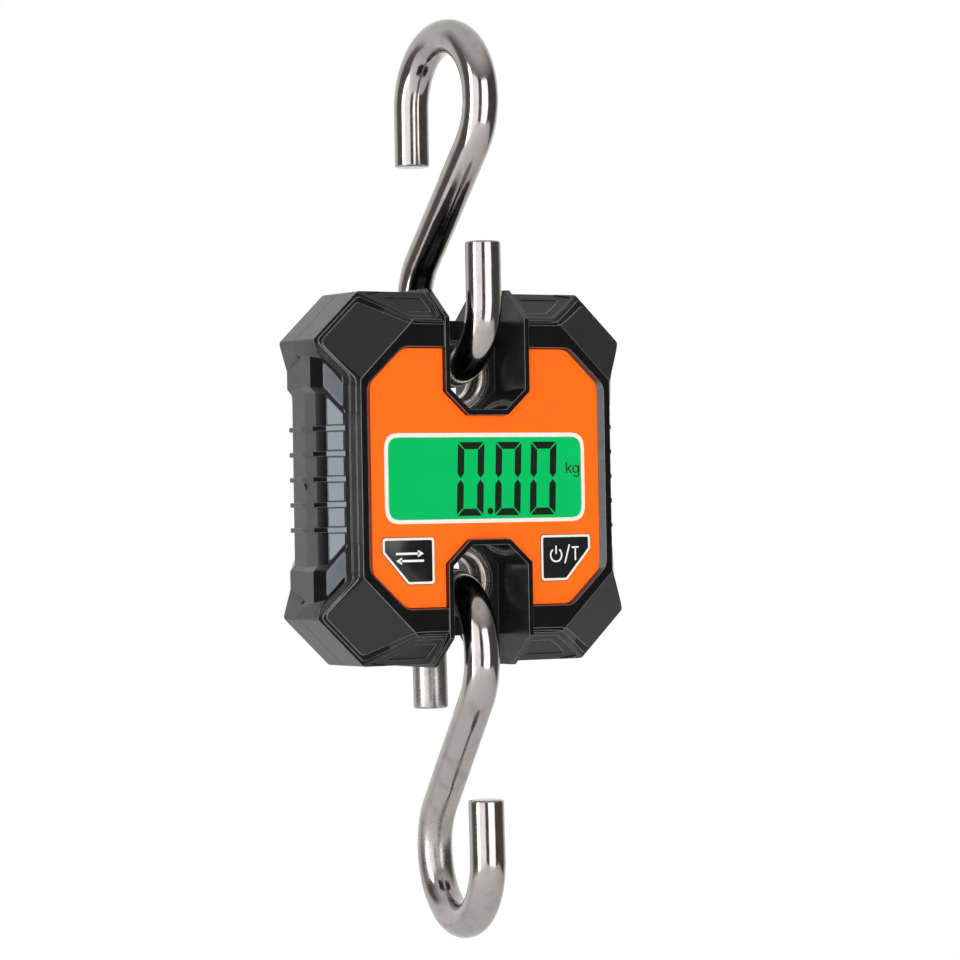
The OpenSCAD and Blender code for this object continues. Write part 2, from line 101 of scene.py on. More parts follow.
class Finish:
    """A Principled material with helpers for its procedural detail."""

    def __init__(self, name, color, rough, metallic=0.0, **more):
        self.mat = bpy.data.materials.new(name)
        self.mat.use_nodes = True
        self.tree = self.mat.node_tree
        self.shader = self.tree.nodes["Principled BSDF"]
        self.coords = self.tree.nodes.new("ShaderNodeTexCoord").outputs["Object"]
        self.color, self.rough = color, rough
        self.height = None
        socket(self.shader, "Base Color").default_value = (*color, 1)
        socket(self.shader, "Roughness").default_value = rough
        socket(self.shader, "Metallic").default_value = metallic
        for key, value in more.items():
            socket(self.shader, key.replace("_", " ")).default_value = value

    def add(self, kind, **values):
        node = self.tree.nodes.new(kind)
        for key, value in values.items():
            setattr(node, key, value)
        return node

    def link(self, a, b):
        self.tree.links.new(a, b)

    def noise(self, scale, detail=3.0, rough=0.55, stretch=(1, 1, 1)):
        mapping = self.add("ShaderNodeMapping")
        mapping.inputs["Scale"].default_value = stretch
        self.link(self.coords, mapping.inputs["Vector"])
        tex = self.add("ShaderNodeTexNoise")
        tex.inputs["Scale"].default_value = scale
        tex.inputs["Detail"].default_value = detail
        tex.inputs["Roughness"].default_value = rough
        self.link(mapping.outputs["Vector"], tex.inputs["Vector"])
        return tex.outputs["Fac"]

    def spread(self, fac, low, high, at=(0.3, 0.7)):
        node = self.add("ShaderNodeMapRange")
        node.inputs["From Min"].default_value, node.inputs["From Max"].default_value = at
        node.inputs["To Min"].default_value, node.inputs["To Max"].default_value = low, high
        self.link(fac, node.inputs["Value"])
        return node.outputs["Result"]

    def vary_rough(self, scale, low, high, **more):
        self.link(self.spread(self.noise(scale, **more), low, high), socket(self.shader, "Roughness"))
        return self

    def vary_color(self, scale, other, at=(0.35, 0.7), **more):
        mix = self.add("ShaderNodeMix", data_type="RGBA")
        self.link(self.spread(self.noise(scale, **more), 0, 1, at), mix.inputs["Factor"])
        mix.inputs["A"].default_value = (*self.color, 1)
        mix.inputs["B"].default_value = (*other, 1)
        self.link(mix.outputs["Result"], socket(self.shader, "Base Color"))
        return self

    def bump(self, fac, distance, strength=1.0):
        node = self.add("ShaderNodeBump")
        node.inputs["Distance"].default_value = distance
        node.inputs["Strength"].default_value = strength
        self.link(fac, node.inputs["Height"])
        normal = socket(self.shader, "Normal")
        if normal.links:
            self.link(normal.links[0].from_socket, node.inputs["Normal"])
        self.link(node.outputs["Normal"], normal)
        return self

    def grain(self, scale, distance, strength=1.0, **more):
        return self.bump(self.noise(scale, **more), distance, strength)


def gloss_black(name, color=(0.0035, 0.0032, 0.0034), rough=0.09, shine=0.45):
    f = Finish(name, color, rough, Specular_IOR_Level=shine)
    f.vary_rough(260, rough * 0.8, rough * 1.3)
    f.vary_color(300, [c * 1.5 for c in color])
    return f.grain(1500, 0.000003, 0.3).mat


def satin_black(name):
    f = Finish(name, (0.0075, 0.0062, 0.0062), 0.33, Specular_IOR_Level=0.36)
    f.vary_rough(420, 0.29, 0.38)
    return f.grain(5200, 0.00001, 0.5, detail=2.0).mat


def facet_black(name):
    f = Finish(name, (0.012, 0.013, 0.018), 0.16, Specular_IOR_Level=0.62, Specular_Tint=(0.86, 0.92, 1, 1))
    f.vary_rough(180, 0.14, 0.2)
    f.grain(1800, 0.000003, 0.3)
    return f.mat


def metal(name, color, rough, other, scale=500, grain=0.000006, **more):
    f = Finish(name, color, rough, metallic=1.0, **more)
    f.vary_rough(scale, rough * 0.75, rough * 1.4)
    f.vary_color(scale * 0.6, other)
    return f.grain(scale * 7, grain, 0.5).mat


def hook_steel(name):
    """Polished rod with fine pits, and dull blasted patches where it was bent."""
    f = Finish(name, (0.365, 0.352, 0.335), 0.14, metallic=1.0)
    f.vary_color(210, (0.275, 0.26, 0.24), at=(0.5, 0.75), detail=5.0)
    patch = f.spread(f.noise(34, detail=4.0, rough=0.6, stretch=(1, 1, 0.6)), 0, 1, (0.53, 0.6))
    rough = f.add("ShaderNodeMix", data_type="FLOAT")
    f.link(patch, rough.inputs["Factor"])
    f.link(f.spread(f.noise(320, detail=4.0), 0.09, 0.17), rough.inputs["A"])
    f.link(f.spread(f.noise(1500, detail=2.0), 0.24, 0.36), rough.inputs["B"])
    f.link(rough.outputs["Result"], socket(f.shader, "Roughness"))
    f.grain(4200, 0.00001, 0.5, detail=2.0)
    return f.grain(700, 0.000016, 0.35, detail=3.0).mat


def painted(name, color, rough, other, scale=300, grain=(4000, 0.000005), **more):
    f = Finish(name, color, rough, **more)
    f.vary_color(scale, other)
    f.vary_rough(scale * 1.7, rough * 0.85, min(1.0, rough * 1.2))
    return f.grain(grain[0], grain[1], 0.5).mat


def turned_steel(name, centre_z):
    """Faced on a lathe: fine rings round an eye."""
    f = Finish(name, (0.56, 0.54, 0.5), 0.22, metallic=1.0)
    shift = f.add("ShaderNodeMapping")
    shift.inputs["Location"].default_value = (0, 0, -centre_z * MM)
    f.link(f.coords, shift.inputs["Vector"])
    flat = f.add("ShaderNodeVectorMath", operation="MULTIPLY")
    flat.inputs[1].default_value = (1, 0, 1)
    f.link(shift.outputs["Vector"], flat.inputs[0])
    radius = f.add("ShaderNodeVectorMath", operation="LENGTH")
    f.link(flat.outputs["Vector"], radius.inputs[0])
    wave = f.add("ShaderNodeMath", operation="MULTIPLY")
    wave.inputs[1].default_value = 26000
    f.link(radius.outputs["Value"], wave.inputs[0])
    rings = f.add("ShaderNodeMath", operation="SINE")
    f.link(wave.outputs[0], rings.inputs[0])
    f.vary_rough(500, 0.16, 0.3)
    f.vary_color(400, (0.42, 0.4, 0.37))
    f.bump(rings.outputs[0], 0.000006, 0.5)
    return f.grain(3000, 0.000004, 0.5).mat


def display_green(name):
    """Lit display field, its glow varying a little at random."""
    f = Finish(name, (0.001, 0.02, 0.005), 0.1, Specular_IOR_Level=0.2)
    f.vary_rough(240, 0.08, 0.12)
    mix = f.add("ShaderNodeMix", data_type="RGBA")
    f.link(f.spread(f.noise(40, detail=1.0), 0, 1), mix.inputs["Factor"])
    mix.inputs["A"].default_value = (0.001, 0.5, 0.115, 1)
    mix.inputs["B"].default_value = (0.001, 0.54, 0.125, 1)
    f.link(mix.outputs["Result"], socket(f.shader, "Emission Color"))
    socket(f.shader, "Emission Strength").default_value = 1.0
    return f.grain(2500, 0.000002, 0.3).mat


def striped(name, a, b, period, axis):
    """Layers across one axis, such as conductive rubber strips."""
    f = Finish(name, a, 0.6)
    wave = f.add("ShaderNodeTexWave", bands_direction=axis)
    wave.inputs["Scale"].default_value = 0.314 / period
    wave.inputs["Distortion"].default_value = 0.4
    f.link(f.coords, wave.inputs["Vector"])
    mix = f.add("ShaderNodeMix", data_type="RGBA")
    f.link(wave.outputs["Fac"], mix.inputs["Factor"])
    mix.inputs["A"].default_value = (*a, 1)
    mix.inputs["B"].default_value = (*b, 1)
    f.link(mix.outputs["Result"], socket(f.shader, "Base Color"))
    f.vary_rough(900, 0.5, 0.7)
    return f.bump(wave.outputs["Fac"], 0.00002, 0.4).mat


M = {
    "gloss": gloss_black("case_gloss"),
    "satin": satin_black("case_satin"),
    "facet": facet_black("case_facet"),
    "shade": gloss_black("case_shade", (0.0035, 0.0032, 0.0034), 0.24, 0.1),
    # painted highlight: this lighter base colour on the bevel faces of the front case draws bright lines
    # along its edges
    "edge": gloss_black("case_edge_highlight", (0.07, 0.068, 0.071), 0.3, 0.7),
    "slope": gloss_black("case_slope", (0.02, 0.02, 0.021), 0.2, 0.85),
    "rear": gloss_black("case_rear", (0.012, 0.0115, 0.012), 0.2),
    "hook": hook_steel("hook_steel"),
    "orange": painted("label_orange", (1.0, 0.135, 0.003), 0.45, (0.98, 0.129, 0.0028), 90,
                      (3600, 0.000006), Specular_IOR_Level=0.15),
    "white": painted("print_white", (0.74, 0.71, 0.65), 0.45, (0.7, 0.68, 0.62), 500),
    "mark": painted("print_mark", (0.8, 0.79, 0.77), 0.45, (0.72, 0.71, 0.7), 700),
    "ink": painted("print_ink", (0.0008, 0.006, 0.0008), 0.3, (0.001, 0.009, 0.001), 900,
                   Specular_IOR_Level=0.3),
    "ink_soft": painted("print_ink_soft", (0.002, 0.05, 0.012), 0.3, (0.003, 0.06, 0.015), 900),
    "key": gloss_black("key_black", (0.006, 0.0055, 0.007), 0.2),
    "green": display_green("display_green"),
    "cell": metal("cell_steel", (0.5, 0.49, 0.47), 0.3, (0.42, 0.41, 0.4)),
    "zinc": metal("zinc_steel", (0.6, 0.6, 0.58), 0.3, (0.5, 0.5, 0.47), 900),
    "nickel": metal("contact_nickel", (0.66, 0.64, 0.58), 0.22, (0.55, 0.53, 0.48), 700),
    "foil": metal("gauge_foil", (0.75, 0.5, 0.2), 0.35, (0.6, 0.36, 0.12), 2500),
    "sealant": painted("sealant_white", (0.74, 0.74, 0.71), 0.5, (0.66, 0.66, 0.62), 400,
                       (900, 0.0001)),
    "cable": painted("cable_white", (0.7, 0.7, 0.68), 0.45, (0.6, 0.6, 0.57), 700),
    "red": painted("wire_red", (0.5, 0.012, 0.01), 0.42, (0.38, 0.01, 0.008), 700),
    "black": painted("wire_black", (0.012, 0.012, 0.013), 0.42, (0.02, 0.02, 0.021), 700),
    "moulded": painted("moulded_black", (0.02, 0.02, 0.021), 0.5, (0.032, 0.032, 0.033), 500,
                       (3000, 0.00002)),
    "board": painted("board_green", (0.012, 0.11, 0.03), 0.3, (0.02, 0.15, 0.045), 260),
    "diffuser": painted("diffuser_white", (0.78, 0.8, 0.76), 0.5, (0.7, 0.72, 0.69), 300),
    "wrap": painted("battery_wrap", (0.025, 0.05, 0.2), 0.3, (0.02, 0.035, 0.14), 120),
    "strip": striped("strip_rubber", (0.55, 0.14, 0.2), (0.75, 0.6, 0.62), 0.0002, "Y"),
    "glass": painted("display_glass", (0.01, 0.32, 0.09), 0.12, (0.012, 0.36, 0.1), 200),
}


# ---------------------------------------------------------------- mesh helpers (mm)

def quarters(q):
    """Whole outline from one quarter, clockwise seen from the front."""
    back = list(reversed(q))
    return (list(q) + [(x, -z) for x, z in back] + [(-x, -z) for x, z in q]
            + [(-x, z) for x, z in back])


def rounded(points, radii, steps=4):
    """Outline with each corner replaced by an arc; the count of points doesn't depend on the shape."""
    out, n = [], len(points)
    radii = radii if hasattr(radii, "__len__") else [radii] * n
    for i, (x, z) in enumerate(points):
        here = Vector((x, z))
        a, b = Vector(points[i - 1]) - here, Vector(points[(i + 1) % n]) - here
        la, lb = a.length, b.length
        a, b = a / la, b / lb
        turn = a.angle(b)
        cut = min(radii[i] / max(math.tan(turn / 2), 1e-3), 0.45 * min(la, lb))
        if radii[i] == 0 or turn > math.pi - 0.01:
            cut = min(0.05, 0.1 * min(la, lb))
        p, q = here + a * cut, here + b * cut
        for k in range(steps + 1):
            t = k / steps
            out.append(tuple((1 - t) ** 2 * p + 2 * t * (1 - t) * here + t * t * q))
    return out


def body_outline(q, radii=CORNER_R):
    back = list(reversed(radii[:len(q)]))
    return rounded(quarters(q), (list(radii[:len(q)]) + back) * 2)


def new_mesh(verts, faces):
    mesh = bpy.data.meshes.new("part")
    mesh.from_pydata([tuple(v) for v in verts], [], faces)
    mesh.validate()
    bm = bmesh.new()
    bm.from_mesh(mesh)
    bmesh.ops.recalc_face_normals(bm, faces=bm.faces)
    bm.to_mesh(mesh)
    bm.free()
    obj = bpy.data.objects.new("part", mesh)
    bpy.context.scene.collection.objects.link(obj)
    return obj


def loft(sections):
    """Closed solid through (depth, outline) sections with equal point counts."""
    n = len(sections[0][1])
    verts = [(x, y, z) for y, outline in sections for x, z in outline]
    faces = [[s * n + i, (s + 1) * n + i, (s + 1) * n + (i + 1) % n, s * n + (i + 1) % n]
             for s in range(len(sections) - 1) for i in range(n)]
    last = (len(sections) - 1) * n
    faces += [list(range(n)), [last + i for i in reversed(range(n))]]
    return new_mesh(verts, faces)


def prism(outline, y0, y1):
    return loft([(y0, outline), (y1, outline)])


def slab(near, far):
    """Closed solid between two matching outlines of points."""
    n = len(near)
    faces = [[i, (i + 1) % n, n + (i + 1) % n, n + i] for i in range(n)]
    return new_mesh(near + far, faces + [list(range(n)), list(range(n, 2 * n))])


def prism_x(outline_yz, x0, x1):
    return slab(*[[(x, y, z) for y, z in outline_yz] for x in (x0, x1)])


def prism_z(outline_xy, z0, z1):
    return slab(*[[(x, y, z) for x, y in outline_xy] for z in (z0, z1)])


def block(lo, hi):
    return prism([(lo[0], lo[2]), (hi[0], lo[2]), (hi[0], hi[2]), (lo[0], hi[2])], lo[1], hi[1])


def circle(x, z, r, n=48):
    return [(x + r * math.cos(2 * math.pi * k / n), z + r * math.sin(2 * math.pi * k / n))
            for k in range(n)]


def pin(x, z, r, y0, y1, n=48):
    return prism(circle(x, z, r, n), y0, y1)


def lathe(profile, centre_z, n=96):
    """Closed ring turned round the Y axis at centre_z, from (radius, y) points."""
    m = len(profile)
    verts, faces = [], []
    for k in range(n):
        a = 2 * math.pi * k / n
        verts += [(r * math.cos(a), y, centre_z + r * math.sin(a)) for r, y in profile]
        j = (k + 1) % n
        faces += [[k * m + i, k * m + (i + 1) % m, j * m + (i + 1) % m, j * m + i]
                  for i in range(m)]
    return new_mesh(verts, faces)


def tube(path, radii, n):
    """Round rod along a path, with the frame carried along it without twist."""
    path = [Vector(p) for p in path]
    verts, faces = [], []
    side = Vector((1, 0, 0))
    for i, p in enumerate(path):
        d = (path[min(i + 1, len(path) - 1)] - path[max(i - 1, 0)]).normalized()
        side = (side - d * side.dot(d)).normalized()
        up = d.cross(side)
        verts += [p + radii[i] * (math.cos(2 * math.pi * k / n) * side + math.sin(2 * math.pi * k / n) * up)
                  for k in range(n)]
    for i in range(len(path) - 1):
        faces += [[i * n + k, i * n + (k + 1) % n, (i + 1) * n + (k + 1) % n, (i + 1) * n + k]
                  for k in range(n)]
    last = (len(path) - 1) * n
    faces += [list(reversed(range(n))), [last + k for k in range(n)]]
    return new_mesh(verts, faces)


def mirrored(obj, axis):
    """A mirrored copy across x = 0 ("X") or z = 0 ("Z")."""
    flip = Matrix.Diagonal((-1, 1, 1, 1) if axis == "X" else (1, 1, -1, 1))
    copy = obj.copy()
    copy.data = obj.data.copy()
    copy.data.transform(flip)
    copy.data.flip_normals()
    bpy.context.scene.collection.objects.link(copy)
    return copy


def four(obj):
    """The object and its mirror images in all four quarters."""
    right = mirrored(obj, "X")
    return [obj, right, mirrored(obj, "Z"), mirrored(right, "Z")]


def two(obj, axis):
    return [obj, mirrored(obj, axis)]


def applied(obj):
    """Mesh of the object with its modifiers applied."""
    bpy.context.view_layer.update()
    made = bpy.data.meshes.new_from_object(obj.evaluated_get(bpy.context.evaluated_depsgraph_get()))
    obj.modifiers.clear()
    old, obj.data = obj.data, made
    bpy.data.meshes.remove(old)
    return obj


def combine(obj, others, how="DIFFERENCE"):
    for other in others:
        mod = obj.modifiers.new("join", "BOOLEAN")
        mod.operation, mod.solver, mod.object = how, "EXACT", other
        applied(obj)
        bpy.data.objects.remove(other)
    return obj


def cut(obj, *others):
    return combine(obj, others)


def fuse(obj, *others):
    return combine(obj, others, "UNION")


def soften(obj, width, segments=3, angle=28, smooth=32, paint=None, highlight_slot=-1, clamp=True):
    """Rounds the sharp edges, then shades smooth between them; paint gives the faces their finish, and the
    bevel faces take the given slot; on the front shell that slot is a painted highlight.
    """
    bm = bmesh.new()
    bm.from_mesh(obj.data)
    bmesh.ops.remove_doubles(bm, verts=bm.verts, dist=0.015)
    bmesh.ops.dissolve_limit(bm, angle_limit=math.radians(0.6), verts=bm.verts, edges=bm.edges)
    bm.to_mesh(obj.data)
    bm.free()
    if paint:
        paint(obj)
    mod = obj.modifiers.new("edge", "BEVEL")
    mod.material = highlight_slot
    mod.width, mod.segments, mod.limit_method = width, segments, "ANGLE"
    mod.angle_limit = math.radians(angle)
    mod.use_clamp_overlap = clamp
    mod.miter_outer = "MITER_ARC"
    applied(obj)
    obj.data.shade_smooth()
    obj.data.set_sharp_from_angle(angle=math.radians(smooth))
    flat = obj.modifiers.new("flat", "WEIGHTED_NORMAL")
    flat.keep_sharp, flat.weight = True, 100
    return applied(obj)


def place(obj, name, body, material, replaces=()):
    """Finished piece: named, in metres, with its finish (None keeps what it has) and body; the CAD parts it
    replaces are hidden.
    """
    obj.name = name
    obj.data.name = name
    obj.data.transform(Matrix.Diagonal((MM, MM, MM, 1)))
    if material:
        obj.data.materials.clear()
        obj.data.materials.append(M[material])
    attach(obj, body)
    if replaces:
        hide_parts(*replaces)
    return obj


def printed(outlines, y):
    """Print on a surface at depth y: one mesh from several thin prisms."""
    return joined([prism(o, y - PRINT_PROUD, y + PRINT_UNDER) for o in outlines])


def joined(objs):
    bm = bmesh.new()
    for o in objs:
        bm.from_mesh(o.data)
        bpy.data.objects.remove(o)
    mesh = bpy.data.meshes.new("part")
    bm.to_mesh(mesh)
    bm.free()
    obj = bpy.data.objects.new("part", mesh)
    bpy.context.scene.collection.objects.link(obj)
    return obj


# ---------------------------------------------------------------- shells

def notch_outline(g, r=0.6):
    """Notch outline, open past the top, grown outwards by g."""
    c = g * 0.42
    x, floor = NOTCH_X + g, NOTCH_FLOOR - g
    shoulder = NOTCH_FLOOR + NOTCH_CZ - c
    foot = NOTCH_X - NOTCH_CX + c
    pts = [(-x, TOP_Z + 8), (-x, shoulder), (-foot, floor), (foot, floor), (x, shoulder),
           (x, TOP_Z + 8)]
    return rounded(pts, [0, r, r, r, r, 0], 3)


def notch_walls(y0, y1, profile_yz):
    wall = fuse(prism(notch_outline(NOTCH_WALL), y0, y1),
                block((-NOTCH_X - NOTCH_WALL, -WEB_Y, WEB_TOP - WEB_LID),
                      (NOTCH_X + NOTCH_WALL, WEB_Y, TOP_Z + 5)))
    return two(combine(wall, [prism_x(profile_yz, -20, 20)], "INTERSECT"), "Z")


def notch_space(y0, y1):
    space = fuse(prism(notch_outline(0), y0, y1),
                 block((-NOTCH_X, -30, WEB_TOP), (NOTCH_X, 30, TOP_Z + 6)))
    return two(space, "Z")


def ribs(profile_xy):
    bars = []
    for z in RIB_Z:
        bars += two(prism_z(profile_xy, z - RIB_HALF, z + RIB_HALF), "X")
    return bars


FACET_N = Vector((0.379, -0.838, 0.393)).normalized()

# Raised fields of the front: outlines of one quarter (x, z), each with its corner radii
FIELD_1 = [(24.6, 42.6), (37.0, 48.9), (48.9, 37.6), (41.5, 27.3), (41.5, 15)]
FIELD_2 = [(23.6, 43.4), (36.2, 50.6), (49.6, 38.0), (42.5, 28.2), (42.5, 15)]
FIELD_R = [9.0, 1.6, 2.0, 4.0, 0]
PAD_1 = [(47.15, 32.2), (47.15, 25.6), (43.75, 19.7), (43.75, 26.6)]
PAD_2 = [(46.3, 22.7), (46.3, -22.7), (43.7, -17.8), (43.7, 17.8)]
PAD_RISE = 0.3
POCKET = [(14.3, 44.9), (23.4, 44.9), (34.6, 51.4), (14.3, 53.5)]
INNER_POCKET = [(15.4, 46.2), (22.2, 46.2), (25.6, 47.9), (29.6, 50.4), (16.4, 50.4)]


def inside(outline, x, z):
    hit = False
    for (x0, z0), (x1, z1) in zip(outline, outline[1:] + outline[:1]):
        if (z0 > z) != (z1 > z) and x < x0 + (z - z0) * (x1 - x0) / (z1 - z0):
            hit = not hit
    return hit


def pad(outline):
    """Glossy grip pad standing just proud of the side bevel."""
    body = loft([(y - PAD_RISE, body_outline(q)) for y, q in
                 ((FACE_Y, FACE_Q), (RIM_Y, RIM_Q), (BEVEL_Y, BEVEL_Q), (CREASE_Y, BEVEL_Q))])
    return combine(body, [prism(rounded(outline, 0.3), -30, -7)], "INTERSECT")


def field(outline, depths):
    """Raised field: the body's front surface at its own depths, within an outline."""
    y_face, y_rim, y_bevel = depths
    body = loft([(y_face, body_outline(FACE_Q)), (y_rim, body_outline(RIM_Q)),
                 (y_bevel, body_outline(BEVEL_Q)), (-6, body_outline(BEVEL_Q))])
    radii = FIELD_R + FIELD_R[::-1]
    return combine(body, [prism(rounded(quarters(outline), radii * 2), -30, -7)], "INTERSECT")


def pocket(outline, drop):
    """Cutter for a recess of the top bevel, its floor parallel to the bevel."""
    outline = rounded(outline, 0.6)
    lift = [(x, FACE_Y - 6, z) for x, z in outline]
    floor = [(x, FACE_Y + 1.4 + 1.0125 * (z - 44) + drop, z) for x, z in outline]
    return slab(lift, floor)


# the "edge" finish is a painted highlight on the bevel faces
SHELL_FINISHES = ("gloss", "satin", "facet", "rear", "shade", "edge", "slope")
GLOSS, SATIN, FACET, REAR, SHADE, EDGE_HIGHLIGHT, SLOPE = range(len(SHELL_FINISHES))


def bevel_depth(x, z):
    """Depth of the side bevel at a place of the right upper quarter, before its pads."""
    start, end = (43.3, 46.4) if z < 24 else (43.6, 47.3)
    return RIM_Y + (x - start) * (BEVEL_Y - RIM_Y) / (end - start)


def shell_finish(centre, normal):
    """Index of the finish for a face of the front shell."""
    x, y, z = abs(centre.x), centre.y, abs(centre.z)
    out = Vector((normal.x if centre.x > 0 else -normal.x, normal.y,
                  normal.z if centre.z > 0 else -normal.z))
    along = (0.69 * (x - FACE_Q[0][0]) + 0.724 * (z - FACE_Q[0][1])) / 14.55
    raised = FACE_Y + along * (BEVEL_Y - 1.0 - FACE_Y)
    on_facet = out.dot(FACET_N) > 0.985 and 0 < along < 1 and abs(y - raised) < 0.25
    on_recess = FACE_Y - 0.1 < y < LABEL_Y + 0.1 and 25 < x < 41.5 and z < 37 and out.x < -0.3
    in_pocket = out.z > 0.4 and out.y < -0.4 and abs(out.x) < 0.1 and inside(POCKET, x, z)
    on_pad = (x > 43 and RIM_Y - 0.8 < y < BEVEL_Y and z < 33.4 and out.x > 0.7 and out.y < -0.3
              and abs(out.z) < 0.1 and y < bevel_depth(x, z) - PAD_RISE * 0.7)
    if on_facet:
        return SATIN
    if on_recess:
        return SLOPE
    if in_pocket:
        return SATIN
    if on_pad:
        return FACET
    if y > CREASE_Y - 0.3 or (y > BEVEL_Y and z > 34):
        return REAR
    return SHADE if x > 38 and out.x > 0.3 and out.y < -0.1 else GLOSS


def paint_shell(obj):
    obj.data.materials.clear()
    for key in SHELL_FINISHES:
        obj.data.materials.append(M[key])
    for p in obj.data.polygons:
        p.material_index = shell_finish(p.center, p.normal)


def seam_marks():
    """Small triangular mark on the seam under the middle rib."""
    return two(prism_x([(-1.6, -1.1), (1.6, -1.1), (0, -3.4)], 46.4, 49), "X")


def front_shell():
    shell = loft([(FACE_Y + 1.4, body_outline(FACE_Q)), (RIM_Y, body_outline(RIM_Q)),
                  (BEVEL_Y, body_outline(BEVEL_Q)), (CREASE_Y, body_outline(CREASE_Q)),
                  (2, body_outline(SEAM_Q))])
    cut(shell, *four(pocket(POCKET, 0.45)))
    cut(shell, *four(pocket(INNER_POCKET, 0.85)))
    fuse(shell, *four(pad(PAD_1)))
    long_pad = cut(pad(PAD_2), *[block((40, -30, z - RIB_GAP), (50, 0, z + RIB_GAP)) for z in RIB_Z])
    fuse(shell, *two(long_pad, "X"))
    fuse(shell, field(FIELD_2, (FACE_Y + 0.3, RIM_Y - 0.2, BEVEL_Y - 0.5)))
    fuse(shell, field(FIELD_1, (FACE_Y, RIM_Y - 0.47, BEVEL_Y - 1.0)))
    hollow = loft([(INNER_Y, quarters(HOLLOW_FRONT_Q)), (BEVEL_Y, quarters(HOLLOW_Q)),
                   (3, quarters(HOLLOW_Q))])
    cut(shell, hollow)
    fuse(shell, *notch_walls(SHELL_END_Y, -WEB_Y + WEB_SKIN,
         [(SHELL_END_Y, 0), (SHELL_END_Y, TOP_Z - 7.4), (BEVEL_Y, TOP_Z + 1), (3, TOP_Z + 1), (3, 0)]))
    fuse(shell, *ribs([(44.5, -12), (43.25, RIM_Y + 0.2), (43.6, RIM_Y - 0.55), (46.7, BEVEL_Y - 0.45),
                       (48.3, CREASE_Y), (48.3, 1), (46.5, 1)]))
    cut(shell, *notch_space(SHELL_END_Y - 1, -WEB_Y))
    cut(shell, *two(pin(0, EYE_Z, WEB_HOLE, -WEB_Y - 1, 3, 96), "Z"))
    recess = loft([(LABEL_Y - LABEL_LIFT, rounded(quarters(RECESS_Q), LABEL_R + 1)),
                   (LABEL_Y, rounded(quarters(LABEL_Q), LABEL_R)),
                   (PANEL_Y, rounded(quarters(LABEL_Q), LABEL_R))])
    cut(recess, *two(prism(notch_outline(NOTCH_WALL), -30, 0), "Z"))
    cut(shell, recess)
    cut(shell, block((-60, 0, -60), (60, 10, 60)))
    cut(shell, prism(rounded(grown_window(0.8), 3), PANEL_Y - 1, INNER_Y + 1))
    cut(shell, *two(prism(rounded(inset(KEY, -0.12), 1.0), PANEL_Y - 1, INNER_Y + 1), "X"))
    cut(shell, *seam_marks())
    # bevel faces get the painted-highlight finish; those behind the side bevel go back to the rear finish
    soften(shell, 0.1, smooth=13, paint=paint_shell, highlight_slot=EDGE_HIGHLIGHT, clamp=False)
    for p in shell.data.polygons:
        if p.material_index == EDGE_HIGHLIGHT and p.center.y > BEVEL_Y + 1:
            p.material_index = REAR
    place(shell, "front_case", "casing", None, ["front_shell"])


def rear_shell():
    shell = loft([(-2, body_outline(SEAM_Q)), (SIDE_Y, body_outline(REAR_Q)),
                  (BACK_Y, body_outline(BACK_Q))])
    cut(shell, loft([(-3, quarters(HOLLOW_Q)), (SIDE_Y, quarters(HOLLOW_Q)),
                     (INNER_BACK_Y, quarters(HOLLOW_BACK_Q))]))
    end = BACK_Y + 0.4
    fuse(shell, *notch_walls(WEB_Y - WEB_SKIN, end,
         [(-3, 0), (-3, TOP_Z + 1), (SIDE_Y, TOP_Z + 1), (end, TOP_Z - 6.4), (end, 0)]))
    fuse(shell, *ribs([(46.5, -1), (48.3, -1), (47.4, SIDE_Y), (43.6, BACK_Y - 3), (42.5, BACK_Y - 3.6),
                       (44, SIDE_Y)]))
    fuse(shell, *[pin(x, z, 3.4, 4, BACK_Y - 0.5) for x, z in POSTS])
    cut(shell, *notch_space(WEB_Y, BACK_Y + 1))
    cut(shell, *two(pin(0, EYE_Z, WEB_HOLE, -3, WEB_Y + 1, 96), "Z"))
    cut(shell, block((-60, -10, -60), (60, 0, 60)))
    x, z = LID_X + LID_GAP, LID_Z + LID_GAP
    cut(shell, block((-x, INNER_BACK_Y - 1, -z), (x, BACK_Y + 1, z)))
    # shallow step round the cover, and the screw wells
    x, z = LID_X + LID_STEP, LID_Z + LID_STEP
    cut(shell, block((-x, BACK_Y - 0.4, -z), (x, BACK_Y + 1, z)))
    for x, z in POSTS:
        cut(shell, pin(x, z, 1.6, 2, BACK_Y + 1), pin(x, z, 2.7, 7, BACK_Y + 1),
            prism_cone(x, z, 2.7, 3.5, BACK_Y - 0.8, BACK_Y + 0.01))
    cut(shell, *seam_marks())
    soften(shell, 0.16, smooth=13, clamp=False)
    shell.data.materials.clear()
    for key in ("rear", "gloss"):
        shell.data.materials.append(M[key])
    for p in shell.data.polygons:
        if abs(p.center.x) < NOTCH_X + 0.6 and abs(p.center.z) > NOTCH_FLOOR - 1:
            p.material_index = 1
    place(shell, "rear_case", "casing", None, ["rear_shell"])


def prism_cone(x, z, r0, r1, y0, y1):
    return loft([(y0, circle(x, z, r0)), (y1, circle(x, z, r1))])


def battery_cover():
    lid = prism(rounded([(-LID_X, -LID_Z), (LID_X, -LID_Z), (LID_X, LID_Z), (-LID_X, LID_Z)], 1.0),
                BACK_Y - LID_THICK, BACK_Y)
    cut(lid, pin(21.6, 0, 5, BACK_Y - 0.6, BACK_Y + 1))
    for z in range(-12, 13, 4):
        cut(lid, block((-26, BACK_Y - 0.35, z - 0.3), (14, BACK_Y + 1, z + 0.3)))
    fuse(lid, *[block((19.0, BACK_Y - 0.7, z - 0.35), (24.2, BACK_Y - 0.1, z + 0.35))
                for z in (-2.2, 0, 2.2)])
    soften(lid, 0.15)
    place(lid, "battery_lid", "battery_cover", "rear", ["battery_cover"])


# ---------------------------------------------------------------- front: label, display, keys

def grown_window(g):
    x0, x1, z0, z1 = WINDOW
    return [(x0 - g, z0 - g), (x1 + g, z0 - g), (x1 + g, z1 + g), (x0 - g, z1 + g)]


